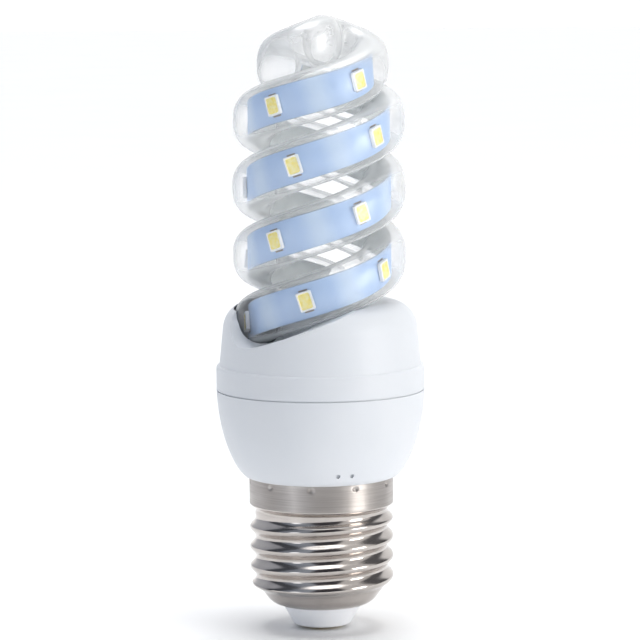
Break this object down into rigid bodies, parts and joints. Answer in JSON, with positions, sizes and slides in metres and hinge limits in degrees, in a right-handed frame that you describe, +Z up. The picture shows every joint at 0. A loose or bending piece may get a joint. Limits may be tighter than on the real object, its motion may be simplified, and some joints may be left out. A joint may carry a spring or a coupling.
{
  "type": "spiral led bulb",
  "caption": "LED bulb with an E27 screw base, a white housing and a clear spiral tube with an LED strip inside each strand.",
  "frame": {"origin": "tip of the centre contact, on the bulb's axis", "axes": "+Z up the axis from the screw base to the crown, -Y towards the viewer of the picture"},
  "size_m": [0.038, 0.0378, 0.1118],
  "materials": {
    "nickel": "nickel plate, glossy on the thread and satin on the skirt",
    "insulator": "white moulded foot",
    "contact": "plain",
    "housing": "white, soft gloss",
    "clear_tube": "clear moulded tube with a slight grey tint",
    "strip": "white solder mask",
    "led_package": "white package with a yellow phosphor face",
    "board": "green solder mask",
    "package": "black moulding",
    "can": "sleeved can",
    "ferrite": "ferrite",
    "copper": "enamelled copper",
    "resistor": "flameproof coating",
    "lead": "white insulation"
  },
  "bodies": {
    "root": {"screw_shell": "nickel", "base_insulator": "insulator", "centre_contact": "contact", "lower_housing": "housing", "upper_cap": "housing", "spiral_tube": "clear_tube", "led_strip_a": "strip", "led_strip_b": "strip", "driver_board": "board", "bridge_rectifier": "package", "driver_chip": "package", "flyback_diode": "package", "input_capacitor": "can", "output_capacitor": "can", "inductor_core": "ferrite", "inductor_winding": "copper", "fusible_resistor": "resistor", "contact_lead": "lead", "shell_lead": "lead", "strip_lead_a": "lead", "strip_lead_b": "lead", "led_a_01": "led_package", "led_a_02": "led_package", "led_a_03": "led_package", "led_a_04": "led_package", "led_a_05": "led_package", "led_a_06": "led_package", "led_a_07": "led_package", "led_a_08": "led_package", "led_a_09": "led_package", "led_b_01": "led_package", "led_b_02": "led_package", "led_b_03": "led_package", "led_b_04": "led_package", "led_b_05": "led_package", "led_b_06": "led_package", "led_b_07": "led_package", "led_b_08": "led_package", "led_b_09": "led_package"}
  },
  "joints": []
}
